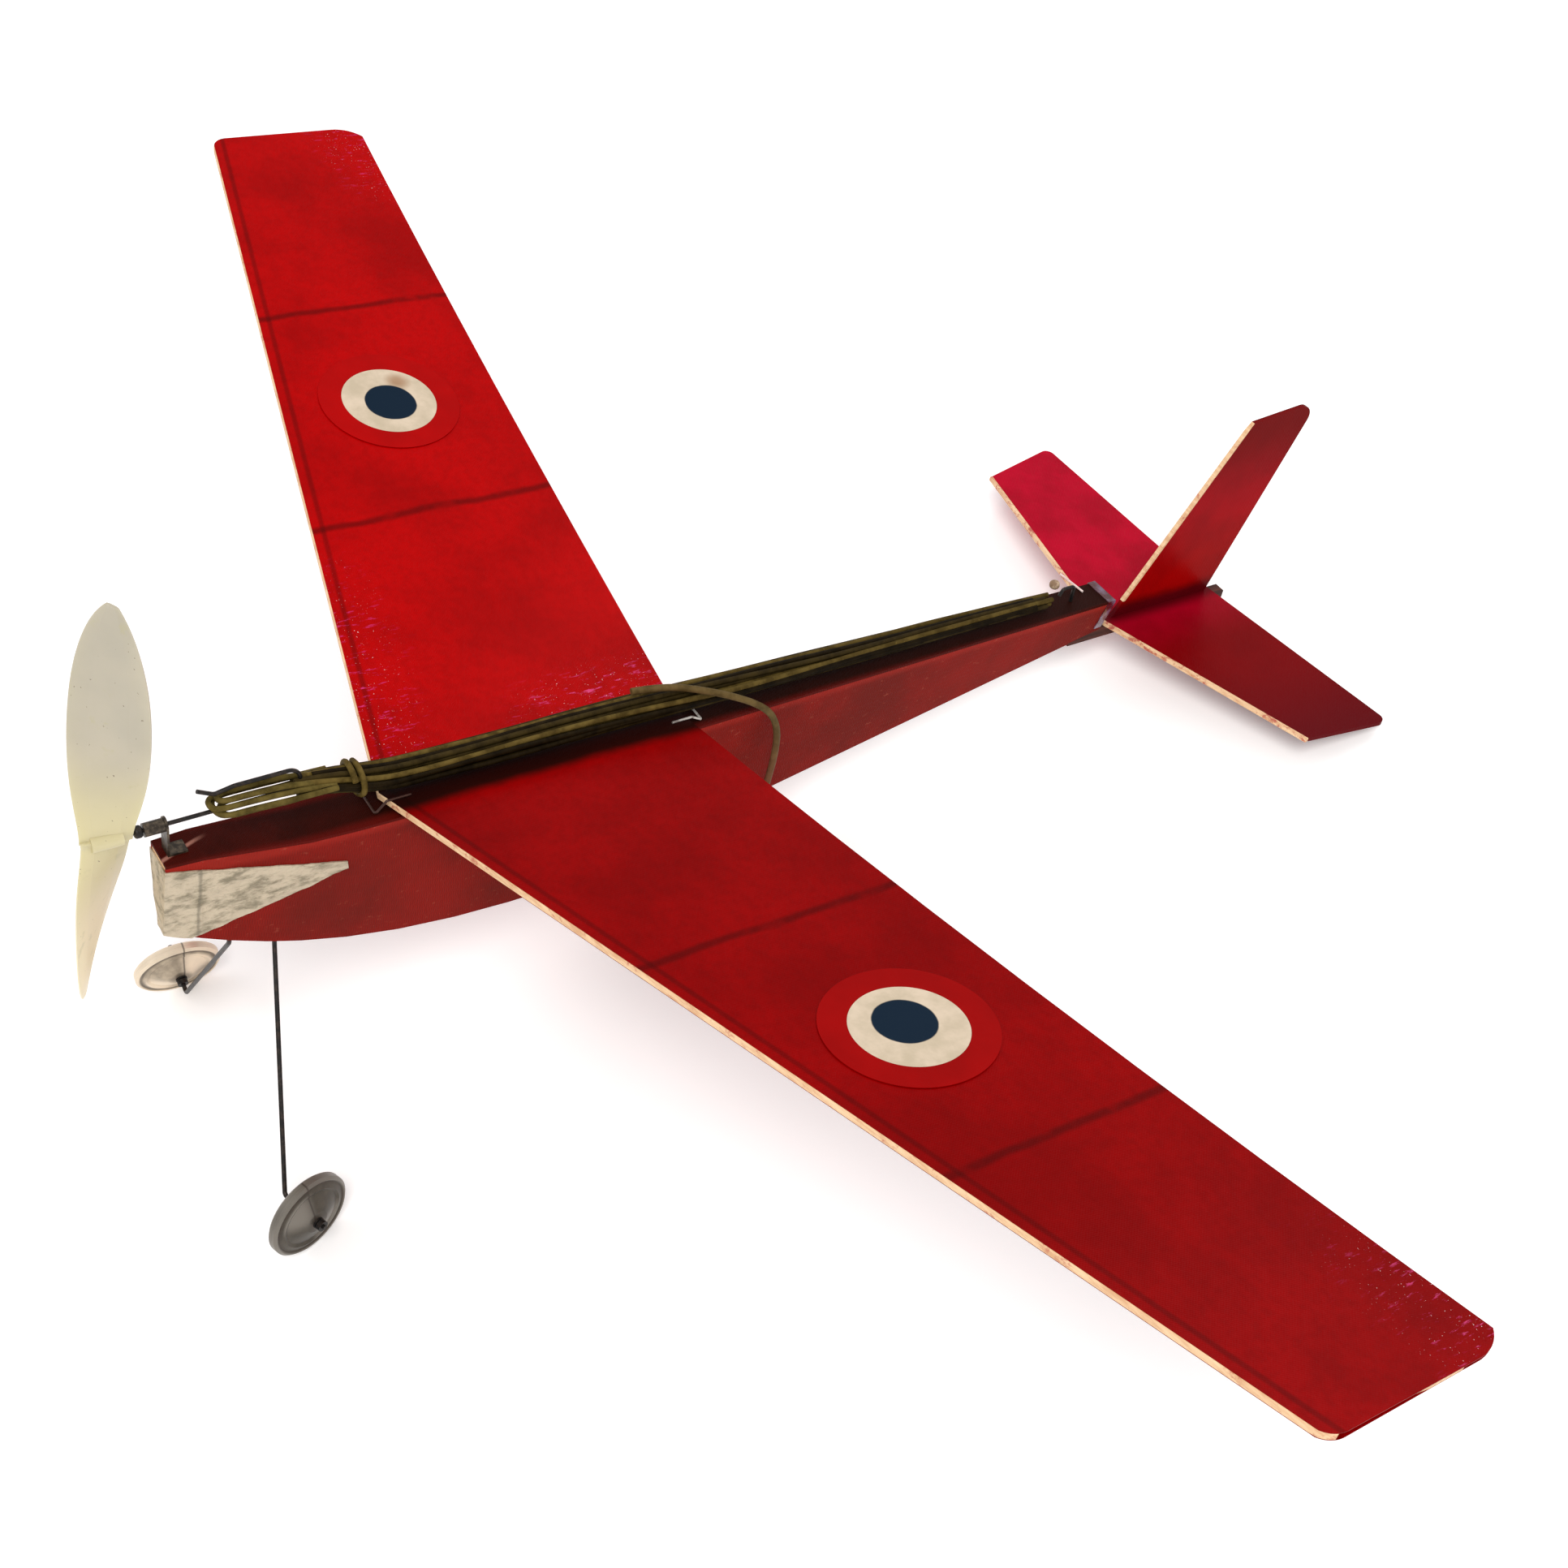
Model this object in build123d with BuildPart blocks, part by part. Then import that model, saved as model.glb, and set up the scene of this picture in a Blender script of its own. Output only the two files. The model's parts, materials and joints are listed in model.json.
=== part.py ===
from build123d import *
import math
import os

# Rubber-powered toy airplane, in millimetres.
# It is drawn level: nose towards -Y, port wing towards +X, the flat top of the fuselage at z = 0 and
# the apex of the wing's leading edge at y = 0. At the end it is tipped back onto its wheels and tail
# stick, as it stands on a table, and moved so that the floor is z = 0.

# --- wing ---
half_span = 320.0
root_chord = 106.0
tip_chord = 62.0
wing_sweep = 76.0  # how far the tip's leading edge lies behind the apex
wing_rise = {"port": 50.5, "starboard": 48.5}  # dihedral, as the tip leading edge's height over the root's
wing_twist = {"port": 8.5, "starboard": 4.5}  # the warped tip's trailing edge lies this much lower
wing_bow = {"port": 3.2, "starboard": 1.6}  # how far the cloth pulls the trailing edge in
wing_height = 3.0  # thickness at the leading edge
wing_tail_height = 1.2  # thickness at the trailing edge
edge_strip = 3.2  # width of the leading-edge strip
tail_strip = 4.5  # width of the trailing-edge strip
cover_sheet = 0.25
rib_thickness = 1.5
rib_stations = (0.34, 0.67)  # shares of the half span
tip_edge_radius = 13.0
tip_nose_radius = 7.0
joiner_reach = 46.0
clip_wire = 0.8
clip_reach = 6.0  # how far each side of the middle the wing's clips reach
joiner_width = 3.0
glue_gap = 0.1

# --- fuselage ---
nose_length = 68.0  # from the wing's apex to the front
fuselage_aft = 290.0
deck_half_width = 10.0
nose_half_width = 6.0
tail_half_width = 6.0
keel_half_width = 2.2
nose_rise = 3.5  # the deck lifts by this much at the nose
nose_flat = 11.0  # length of the raised flat at the nose
deck_thickness = 1.0
skin_thickness = 0.8
keel_depth = 61.5  # deepest point under the deck
keel_lift = 34.5  # how much the keel line rises from there to the nose
keel_curve = 2.6  # power of that rise
deepest = 70.0  # where the keel is deepest
tail_depth = 16.5  # keel under the deck at the aft end
keel_strip_height = 3.0
former_thickness = 1.6
nose_block_length = 10.0
leg_block_margin = 5.0  # wood left in front of and behind the legs' holes
tail_block_length = 18.0

# --- tail ---
stab_half_span = 89.0
stab_offset = -2.6  # the tailplane sits a little to starboard
stab_root_chord = 55.0
stab_tip_chord = 37.0
stab_sweep = 23.5
stab_flare = 6.5  # the tips spread outwards towards the back by this much
stab_height = 14.5  # middle of the tailplane under the deck
stab_yaw = 3.2  # the tailplane is glued on a little askew, in degrees
tail_plate = 1.6
tail_edge = 1.2
fin_wrap = 6.5  # the cloth is wrapped over the fin's front edge up to this height
stick_width = 4.4
stick_height = 5.0
stick_inside = 14.0  # how far the tail stick reaches into the fuselage
stick_reach = 63.0  # and how far it sticks out behind
fin_setback = 6.4  # from the fuselage's end to the fin's foot
fin_foot_chord = 47.0
fin_height = 79.0
fin_lean = 42.0  # sweep of the fin's leading edge at its top
fin_top_chord = 32.0
fin_top_slope = 3.0
fin_corner = 5.0
band_width = 3.4
band_thickness = 0.3
pin_diameter = 0.8
pin_length = 12.0

# --- propeller and its drive ---
shaft_height = 14.2  # thrust line over the deck
shaft_diameter = 1.3
hub_front = 82.5  # middle of the propeller, in front of the wing's apex
upper_blade = 79.0
lower_blade = 72.0
blade_kink = (-2.0, -9.0)  # how far the warped blades lean sideways, in degrees
blade_lean = 5.0  # how far the propeller is tipped on its shaft, in degrees
blade_thickness = 1.1
boss_diameter = 5.0
boss_length = 9.0
bush_diameter = 4.2
bush_length = 6.0
bush_front = 72.0
bracket_width = 5.0
bracket_thickness = 0.7
bead_diameter = 3.8
bead_length = 2.4
spin_clearance = 0.05  # radial, shaft in its bush and axle in its wheel
seat_clearance = 0.02  # radial, pieces fixed on a wire
side_gap = 0.3
hook_gap = 7.5  # height of the hook's return over the shaft
hook_bend = 25.0  # where the hook turns, in front of the wing's apex
hook_tip = 50.0

# --- rubber motor ---
strand = 2.4
motor_width = 13.0
motor_height = 8.0
motor_end_width = 6.5
motor_end_height = 5.0
motor_front = 19.0  # in front of the wing's apex
motor_inset = 26.0  # the hank ends this far inside the fuselage's end
motor_lift = 1.1  # clearance of the hank over wing and deck
loop_front = 51.0
loop_spread = 3.0

# --- undercarriage ---
wheel_radius = 14.5
wheel_track = 57.0  # half the track, at the middle of each wheel
wheel_behind = {"port": -46.3, "starboard": -44.2}  # the hubs, measured aft from the wing's apex
wheel_drop = 109.0
wheel_camber = {"port": 2.5, "starboard": 18.0}  # the axles' slant, as bent
wheel_toe = {"port": 18.0, "starboard": 3.7}  # and how far their outer ends point aft
rim_half_width = 1.1
dish_height = 4.8
sheet_tin = 0.5
ferrule_radius = 1.9
wire_diameter = 1.5
leg_root = {"port": -33.0, "starboard": -47.5}  # where the legs leave the keel
leg_hole = 9.0  # how deep each leg is let into its block
leg_bend = 4.0
collar_radius = 1.8
collar_length = 1.5

# --- paper discs ---
disc_station = 0.505
disc_chord = 0.49
red_disc_radius = 25.0
pale_disc_radius = 16.8
paper = 0.2


stick_start = fuselage_aft - stick_inside
stick_end = fuselage_aft + stick_reach
fin_foot = fuselage_aft + fin_setback
motor_rear = fuselage_aft - motor_inset


def mix(a, b, share):
    return a + (b - a) * share


def deck_z(y):
    """Height of the deck's top: flat, with a ramp up to the raised flat at the nose."""
    ramp_start = -25.0
    ramp_end = -nose_length + nose_flat
    if y >= ramp_start:
        return 0.0
    if y <= ramp_end:
        return nose_rise
    return nose_rise * (ramp_start - y) / (ramp_start - ramp_end)


def deck_half(y):
    if y < 0:
        return mix(deck_half_width, nose_half_width, -y / nose_length)
    return mix(deck_half_width, tail_half_width, y / fuselage_aft)


def keel_z(y):
    if y < deepest:
        return -keel_depth + keel_lift * ((deepest - y) / (deepest + nose_length)) ** keel_curve
    return mix(-keel_depth, -tail_depth, (y - deepest) / (fuselage_aft - deepest))


fuselage_stations = [-nose_length, -nose_length + nose_flat, -48.0, -36.0, -25.0, -10.0, 8.0, 28.0, 48.0]
fuselage_stations += [deepest, 130.0, 200.0, 250.0, fuselage_aft]


def stations_between(start, end):
    """The fuselage's stations from start to end, with both ends added."""
    inner = [y for y in fuselage_stations if start + 1.0 < y < end - 1.0]
    return [start] + inner + [end]


def across(y):
    """The upright plane across the fuselage at y, drawn with x to port and y up."""
    return Plane(origin=(0, y, 0), x_dir=(1, 0, 0), z_dir=(0, -1, 0))


def skin_outline(y, side, outward=0.0):
    """One side wall at a station: from under the deck down to the keel."""
    top = deck_half(y) + outward
    low = keel_half_width + outward
    return [
        (side * top, deck_z(y) - deck_thickness),
        (side * (top - skin_thickness - outward), deck_z(y) - deck_thickness),
        (side * (low - skin_thickness - outward), keel_z(y)),
        (side * low, keel_z(y)),
    ]


def inner_outline(y, gap=0.0, bottom=0.0):
    """The hollow between the two side walls, shrunk by gap, with its floor lifted by bottom."""
    roof = deck_z(y) - deck_thickness - gap
    floor = keel_z(y) + bottom
    share = bottom / (deck_z(y) - deck_thickness - keel_z(y))
    top = deck_half(y) - skin_thickness - gap
    low = mix(keel_half_width, deck_half(y), share) - skin_thickness - gap
    return [(top, roof), (-top, roof), (-low, floor), (low, floor)]


def outer_outline(y, outward):
    """The whole fuselage's outline at a station, grown outward."""
    top = deck_half(y) + outward
    low = keel_half_width + outward
    roof = deck_z(y) + outward
    shoulder = deck_z(y) - deck_thickness
    floor = keel_z(y) - outward
    return [(top, roof), (-top, roof), (-top, shoulder), (-low, floor), (low, floor), (top, shoulder)]


def deck_outline(y):
    half = deck_half(y)
    return [(half, deck_z(y)), (-half, deck_z(y)),
            (-half, deck_z(y) - deck_thickness), (half, deck_z(y) - deck_thickness)]


def keel_outline(y):
    half = keel_half_width - skin_thickness
    low = keel_z(y)
    return [(half, low), (half, low + keel_strip_height), (-half, low + keel_strip_height), (-half, low)]


def draw(points):
    """A closed outline of straight lines, inside a sketch."""
    Polygon(*points, align=None)


# ---------------------------------------------------------------- fuselage

side_skins = {}
for side_name, side in (("port", 1), ("starboard", -1)):
    with BuildPart() as skin:
        for y in stations_between(-nose_length, fuselage_aft):
            with BuildSketch(across(y)):
                draw(skin_outline(y, side))
        loft(ruled=True)
        # the tail stick is let into the bottom of the aft end
        with BuildSketch(across(stick_start - side_gap)):
            with Locations((0, -stab_height - tail_plate / 2 - stick_height / 2)):
                Rectangle(stick_width + 2 * glue_gap, stick_height + 2 * glue_gap)
        extrude(amount=-(fuselage_aft - stick_start + 2), mode=Mode.SUBTRACT)
    side_skins[side_name] = skin.part

with BuildPart() as top_deck:
    for y in stations_between(-nose_length, fuselage_aft):
        with BuildSketch(across(y)):
            draw(deck_outline(y))
    loft(ruled=True)

leg_block_start = min(leg_root.values()) - leg_block_margin
leg_block_end = max(leg_root.values()) + leg_block_margin
keel_spans = [
    (-nose_length + nose_block_length + glue_gap, leg_block_start - glue_gap),
    (leg_block_end + glue_gap, stick_start - side_gap - glue_gap),
]
with BuildPart() as keel_strip:
    for start, end in keel_spans:
        for y in stations_between(start, end):
            with BuildSketch(across(y)):
                draw(keel_outline(y))
        loft(ruled=True)

with BuildPart() as nose_block:
    for y in stations_between(-nose_length + glue_gap, -nose_length + nose_block_length):
        with BuildSketch(across(y)):
            draw(inner_outline(y, glue_gap, 3 * glue_gap))
    loft(ruled=True)

with BuildPart() as leg_block:
    for y in stations_between(leg_block_start, leg_block_end):
        with BuildSketch(across(y)):
            draw(inner_outline(y, glue_gap))
    loft(ruled=True)
    for root in leg_root.values():
        with BuildSketch(Plane.XY.offset(-keel_depth)):
            with Locations((0, root)):
                Circle(wire_diameter / 2 + seat_clearance)
        extrude(amount=keel_depth + keel_z(root) + leg_hole + 0.5, mode=Mode.SUBTRACT)

former_places = (-20.0, 60.0, 135.0, 205.0, fuselage_aft - 28.0)
with BuildPart() as formers:
    for place in former_places:
        for y in (place, place + former_thickness):
            with BuildSketch(across(y)):
                draw(inner_outline(y, glue_gap, keel_strip_height + 3 * glue_gap))
        loft(ruled=True)

stick_top = -stab_height - tail_plate / 2
with BuildPart() as tail_block:
    block_start = fuselage_aft - tail_block_length
    lift = stick_top + glue_gap
    for y in (block_start, fuselage_aft):
        with BuildSketch(across(y)):
            draw(inner_outline(y, glue_gap, lift - keel_z(y)))
    loft(ruled=True)

with BuildPart() as tail_stick:
    with BuildSketch(Plane.XY.offset(stick_top)):
        with Locations((0, (stick_start + stick_end) / 2)):
            Rectangle(stick_width, stick_end - stick_start)
    extrude(amount=-stick_height)
    chamfer(tail_stick.edges().filter_by(Axis.X).group_by(Axis.Y)[-1].sort_by(Axis.Z)[0], 2.0)

plate_reach = 55.0
foil = 0.35
with BuildPart() as nose_plate:
    for y in stations_between(-nose_length - foil, -nose_length + plate_reach + 6):
        with BuildSketch(across(y)):
            draw(outer_outline(max(y, -nose_length), foil))
    loft(ruled=True)
    for y in stations_between(-nose_length, -nose_length + plate_reach + 7):
        with BuildSketch(across(y)):
            draw(outer_outline(y, 0.0))
    loft(ruled=True, mode=Mode.SUBTRACT)
    # side view: a tall front that runs out to a long point
    with BuildSketch(Plane.YZ.offset(-20)):
        draw([
            (-nose_length - 1, nose_rise - 2.2),
            (-nose_length + 4, nose_rise - 3.4),
            (-nose_length + plate_reach, -14.0),
            (-nose_length + plate_reach + 0.5, -17.2),
            (-nose_length + 6, -33.0),
            (-nose_length + 2, -32.0),
            (-nose_length - 1, -28.5),
        ])
    extrude(amount=40, mode=Mode.INTERSECT)

with BuildPart() as tail_band:
    band_end = fuselage_aft - 0.4
    for y in (band_end - band_width, band_end):
        with BuildSketch(across(y)):
            draw(outer_outline(y, band_thickness))
    loft(ruled=True)
    for y in (band_end - band_width - 1, band_end + 1):
        with BuildSketch(across(min(y, fuselage_aft + 1))):
            draw(outer_outline(y, 0.0))
    loft(ruled=True, mode=Mode.SUBTRACT)
    with BuildSketch(Plane.XY.offset(-30)):
        with Locations((0, band_end)):
            Rectangle(stick_width + 4, 30)
    extrude(amount=30 + stick_top + 1.0, mode=Mode.SUBTRACT)

# ---------------------------------------------------------------- wing


def leading_edge(share, side):
    """Lowest front corner of the wing section at a share of the half span."""
    return (half_span * share, wing_sweep * share, wing_rise[side] * share)


def chord_at(share, side):
    return mix(root_chord, tip_chord, share) - 4 * wing_bow[side] * share * (1 - share)


def wing_plane(share, side):
    """The section plane at a share of the half span: x runs aft along the chord, y runs up."""
    twist = math.degrees(math.atan2(wing_twist[side] * share, chord_at(share, side)))
    plane = Plane(origin=leading_edge(share, side), x_dir=(0, 1, 0), z_dir=(1, 0, 0))
    return plane.rotated((0, 0, -twist))


def wing_heights(chord, at):
    return mix(wing_height, wing_tail_height, at / chord)


def front_section(share, side):
    """The strip behind the wing's nose; the cover lies on it."""
    inset = cover_sheet + 0.03
    top = wing_heights(chord_at(share, side), edge_strip) - inset
    low = wing_height - inset
    return [(0, 0.6), (0, low - 0.3), (0.3, low), (edge_strip, top), (edge_strip, inset), (0.6, inset)]


def rear_section(share, side):
    chord = chord_at(share, side)
    inset = cover_sheet + 0.03
    start = chord - tail_strip
    end = chord - inset
    top = wing_heights(chord, start)
    return [(start, inset), (start, top - inset), (end, wing_tail_height - inset), (end, inset)]


def joiner_section(share, side):
    start = edge_strip + glue_gap
    top = wing_heights(chord_at(share, side), start) - cover_sheet - glue_gap
    return [(start, cover_sheet + glue_gap), (start, top),
            (start + joiner_width, top), (start + joiner_width, cover_sheet + glue_gap)]


def cover_sections(share, side):
    """Top sheet, bottom sheet and the fold round the trailing edge, in one outline."""
    chord = chord_at(share, side)
    top = wing_heights(chord, cover_start)
    return [(cover_start, top), (chord, wing_tail_height), (chord, 0), (cover_start, 0),
            (cover_start, cover_sheet), (chord - cover_sheet, cover_sheet),
            (chord - cover_sheet, wing_tail_height - cover_sheet), (cover_start, top - cover_sheet)]


def rib_outline(share, side):
    chord = chord_at(share, side)
    start = edge_strip + 2 * glue_gap + (joiner_width + glue_gap) * (half_span * share < joiner_reach)
    end = chord - tail_strip - glue_gap
    inset = cover_sheet + 0.03
    return [(start, inset), (start, wing_heights(chord, start) - inset),
            (end, wing_heights(chord, end) - inset), (end, inset)]


def tip_trim(side):
    """Upright prism of one panel's plan, with its rounded tip corners."""
    with BuildPart() as prism:
        with BuildSketch(Plane.XY.offset(-20)):
            with BuildLine():
                Polyline(
                    (-1, 0),
                    (0, 0),
                    (half_span, wing_sweep),
                    (half_span, wing_sweep + tip_chord + 2),
                    (0, root_chord + 2),
                    (-1, root_chord + 2),
                    close=True,
                )
            make_face()
            fillet(vertices().group_by(Axis.X)[-1].sort_by(Axis.Y)[0], tip_nose_radius)
            fillet(vertices().sort_by(Axis.Y)[-1], tip_edge_radius)
        extrude(amount=wing_rise[side] + 60)
    return prism.part


def panel_piece(section, side, start=0.0, end=1.0, trim=None):
    """A strip or sheet that runs along one wing panel."""
    steps = [mix(start, end, step / panel_steps) for step in range(panel_steps + 1)]
    with BuildPart() as piece:
        for share in steps:
            with BuildSketch(wing_plane(share, side)):
                draw(section(share, side))
        loft(ruled=True)
        if trim is not None:
            add(trim, mode=Mode.INTERSECT)
    return piece.part


def disc_plane(lift, side):
    """Plane on the top of the wing under the middle of a paper disc."""
    chord = chord_at(disc_station, side)
    at = chord * disc_chord
    here = wing_plane(disc_station, side).from_local_coords(Vector(at, wing_heights(chord, at) + lift))
    behind = wing_plane(disc_station, side).from_local_coords(
        Vector(at + 1, wing_heights(chord, at + 1) + lift))
    further = disc_station + 0.05
    far_chord = chord_at(further, side)
    far_at = far_chord * disc_chord
    outboard = wing_plane(further, side).from_local_coords(
        Vector(far_at, wing_heights(far_chord, far_at) + lift))
    aft = behind - here
    along = outboard - here
    return Plane(origin=here, x_dir=along, z_dir=along.cross(aft))


cover_start = 0.35  # the cover's front edge, just behind the nose of the strip
panel_steps = 8
disc_lift = 0.25
root_share = glue_gap / 2 / half_span
wing_pieces = {}
for side_name in ("port", "starboard"):
    panel_plan = tip_trim(side_name)
    for piece_name, section in (("front", front_section), ("rear", rear_section), ("cover", cover_sections)):
        wing_pieces[f"wing_{piece_name}_{side_name}"] = panel_piece(
            section, side_name, root_share, 1.0, panel_plan)
    wing_pieces["joiner_" + side_name] = panel_piece(
        joiner_section, side_name, 0.0, joiner_reach / half_span)

    with BuildPart() as wing_ribs:
        tip_rib = 1 - (tip_edge_radius * 0.35 + rib_thickness) / half_span
        for share in (2 * glue_gap / half_span,) + rib_stations + (tip_rib,):
            for place in (share, share + rib_thickness / half_span):
                with BuildSketch(wing_plane(place, side_name)):
                    draw(rib_outline(place, side_name))
            loft(ruled=True)
        add(panel_plan, mode=Mode.INTERSECT)
    wing_pieces["wing_ribs_" + side_name] = wing_ribs.part

    with BuildPart() as red_disc:
        with BuildSketch(disc_plane(disc_lift, side_name)):
            Circle(red_disc_radius)
            Circle(pale_disc_radius + 0.05, mode=Mode.SUBTRACT)
        extrude(amount=paper)
    wing_pieces["red_disc_" + side_name] = red_disc.part

    with BuildPart() as pale_disc:
        with BuildSketch(disc_plane(disc_lift, side_name)):
            Circle(pale_disc_radius)
        extrude(amount=paper)
    wing_pieces["pale_disc_" + side_name] = pale_disc.part

# both panels are drawn to port; the starboard one is then mirrored
for name, piece in wing_pieces.items():
    if name.endswith("starboard"):
        wing_pieces[name] = mirror(piece, about=Plane.YZ)

with BuildPart() as wing_joiner:
    add(wing_pieces.pop("joiner_port"))
    add(wing_pieces.pop("joiner_starboard"))


def staple(arm_end, edge, foot, height):
    """A bent wire that holds one edge of the wing down: two arms over the wing, a bar on the deck."""
    rise = wing_rise["port"] * clip_reach / half_span + clip_wire / 2 + 2 * glue_gap
    with BuildPart() as wire:
        with BuildLine() as route:
            FilletPolyline(
                (-clip_reach, arm_end, height + rise),
                (-clip_reach, edge, height + rise + glue_gap),
                (-clip_reach, foot, clip_wire / 2 + glue_gap),
                (clip_reach, foot, clip_wire / 2 + glue_gap),
                (clip_reach, edge, height + rise + glue_gap),
                (clip_reach, arm_end, height + rise),
                radius=1.0,
            )
        with BuildSketch(Plane(origin=route.line @ 0, z_dir=route.line % 0)):
            Circle(clip_wire / 2)
        sweep()
    return wire.part


with BuildPart() as wing_clips:
    add(staple(8.0, 0.2, -3.5, wing_height))
    add(staple(root_chord - 6.0, root_chord + 1.4, root_chord + 5.5, wing_tail_height + 0.1))

# ---------------------------------------------------------------- tail

stab_mid = Plane(origin=(stab_offset, fuselage_aft + 0.6, -stab_height), x_dir=(1, 0, 0), z_dir=(0, 0, 1))
stab_plane = stab_mid.rotated((0, 0, stab_yaw)).offset(-tail_plate / 2)


def stab_outline(front):
    """Plan of the tailplane behind a front edge moved aft by front."""
    return [
        (0, front),
        (stab_half_span, stab_sweep + front),
        (stab_half_span + stab_flare, stab_sweep + stab_tip_chord),
        (0, stab_root_chord),
        (-stab_half_span - stab_flare, stab_sweep + stab_tip_chord),
        (-stab_half_span, stab_sweep + front),
    ]


with BuildPart() as tailplane:
    with BuildSketch(stab_plane):
        draw(stab_outline(tail_edge + 0.02))
        corners = vertices().sort_by(Axis.X)
        fillet([corners[0], corners[-1]], 3.0)
    extrude(amount=tail_plate)

stab_fronts = {}
for side_name, side in (("port", 1), ("starboard", -1)):
    with BuildPart() as front:
        with BuildSketch(stab_plane):
            draw([
                (side * 0.02, 0),
                (side * stab_half_span, stab_sweep),
                (side * stab_half_span, stab_sweep + tail_edge),
                (side * 0.02, tail_edge),
            ])
        extrude(amount=tail_plate)
    stab_fronts[side_name] = front.part

fin_base = -stab_height + tail_plate / 2
fin_plane = Plane.YZ.offset(-tail_plate / 2)
fin_top = fin_base + fin_height
wrap_edge = fin_foot + fin_lean * fin_wrap / (fin_height - fin_top_slope)
with BuildPart() as fin:
    with BuildSketch(fin_plane):
        draw([
            (fin_foot, fin_base),
            (fin_foot + fin_foot_chord, fin_base),
            (fin_foot + fin_lean + fin_top_chord, fin_top),
            (fin_foot + fin_lean + tail_edge, fin_top - fin_top_slope),
            (wrap_edge + tail_edge, fin_base + fin_wrap),
            (wrap_edge, fin_base + fin_wrap),
        ])
        fillet(vertices().sort_by(Axis.Y)[-1], fin_corner)
    extrude(amount=tail_plate)

with BuildPart() as fin_front:
    with BuildSketch(fin_plane):
        draw([
            (wrap_edge - 0.02, fin_base + fin_wrap + 0.02),
            (wrap_edge + tail_edge - 0.02, fin_base + fin_wrap + 0.02),
            (fin_foot + fin_lean + tail_edge - 0.02, fin_top - fin_top_slope),
            (fin_foot + fin_lean - 1.5, fin_top - fin_top_slope - 3.5),
        ])
    extrude(amount=tail_plate)

with BuildPart() as tail_pin:
    pin_place = (-2.5, fuselage_aft - 9.3, pin_diameter / 2 + 0.05)
    with BuildSketch(Plane(origin=pin_place, z_dir=(-1, -0.1, 0))):
        Circle(pin_diameter / 2)
    extrude(amount=pin_length)

# ---------------------------------------------------------------- propeller and its drive

hub_plane = Plane(origin=(0, -hub_front, shaft_height), x_dir=(1, 0, 0), z_dir=(0, -1, 0))
blade_stations = (0.0, 0.1, 0.26, 0.45, 0.63, 0.8, 0.92, 1.0)
blade_chords = (15.0, 16.5, 21.0, 24.0, 24.0, 20.0, 13.0, 4.0)
blade_angles = (88.0, 72.0, 57.0, 46.0, 39.0, 34.0, 31.0, 30.0)


def blade(length, kink, turn):
    """One blade: thin oval sections that flatten out from the hub to the tip."""
    lean = math.radians(blade_lean)
    side = math.radians(kink)
    direction = Vector(math.sin(side), math.sin(lean), math.cos(lean) * math.cos(side))
    if turn:
        direction = Vector(math.sin(side), -math.sin(lean), -math.cos(lean) * math.cos(side))
    hand = -1 if turn else 1
    centre = Vector(0, -hub_front, shaft_height)
    with BuildPart() as piece:
        for share, chord, angle in zip(blade_stations, blade_chords, blade_angles):
            pitch = math.radians(angle)
            along = Vector(hand * math.cos(pitch), math.sin(pitch), 0)
            chord_dir = along - direction * along.dot(direction)
            reach = length * share - (1.0 if share == 0 else 0.0)
            half = blade_thickness / 2 * (1.3 - 0.5 * share)
            edge = blade_thickness * 0.15
            with BuildSketch(Plane(origin=centre + direction * reach, x_dir=chord_dir, z_dir=direction)):
                draw([
                    (-chord / 2, -edge),
                    (-chord / 4, -half),
                    (chord / 4, -half),
                    (chord / 2, -edge),
                    (chord / 2, edge),
                    (chord / 4, half),
                    (-chord / 4, half),
                    (-chord / 2, edge),
                ])
        loft()
    return piece.part


with BuildPart() as propeller:
    add(blade(upper_blade, blade_kink[0], False))
    add(blade(lower_blade, blade_kink[1], True))
    with BuildSketch(hub_plane.offset(-boss_length / 2)):
        Circle(boss_diameter / 2)
    extrude(amount=boss_length)
    with BuildSketch(hub_plane.offset(-boss_length)):
        Circle(shaft_diameter / 2 + seat_clearance)
    extrude(amount=2 * boss_length, mode=Mode.SUBTRACT)

hook_radius = hook_gap / 2 - 0.02
with BuildPart() as prop_shaft:
    return_z = shaft_height + hook_gap
    with BuildLine() as shaft_path:
        FilletPolyline(
            (0, -hub_front - boss_length / 2 - 2, shaft_height),
            (0, -hook_bend, shaft_height),
            (0, -hook_bend, return_z),
            (0, -hook_tip + 5, return_z),
            (0, -hook_tip - 1, return_z - 1.2),
            (0, -hook_tip - 6, return_z + 1.6),
            radius=[hook_radius, hook_radius, 6.0, 2.5],
        )
    with BuildSketch(Plane(origin=shaft_path.line @ 0, z_dir=shaft_path.line % 0)):
        Circle(shaft_diameter / 2)
    sweep()

bracket_y = -nose_length + 2.0
with BuildPart() as thrust_bearing:
    with BuildSketch(across(-bush_front)):
        with Locations((0, shaft_height)):
            Circle(bush_diameter / 2)
    extrude(amount=-bush_length)
    with BuildSketch(across(bracket_y)):
        with Locations((0, (nose_rise + shaft_height) / 2)):
            Rectangle(bracket_width, shaft_height - nose_rise)
        with Locations((0, shaft_height)):
            Circle(bracket_width / 2)
    extrude(amount=-bracket_thickness)
    with BuildSketch(Plane.XY.offset(nose_rise)):
        with Locations((0, bracket_y + 3.0)):
            Rectangle(bracket_width, 6.0)
    extrude(amount=bracket_thickness)
    with BuildSketch(across(-bush_front - 1)):
        with Locations((0, shaft_height)):
            Circle(shaft_diameter / 2 + spin_clearance)
    extrude(amount=-bush_length - 2, mode=Mode.SUBTRACT)

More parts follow.
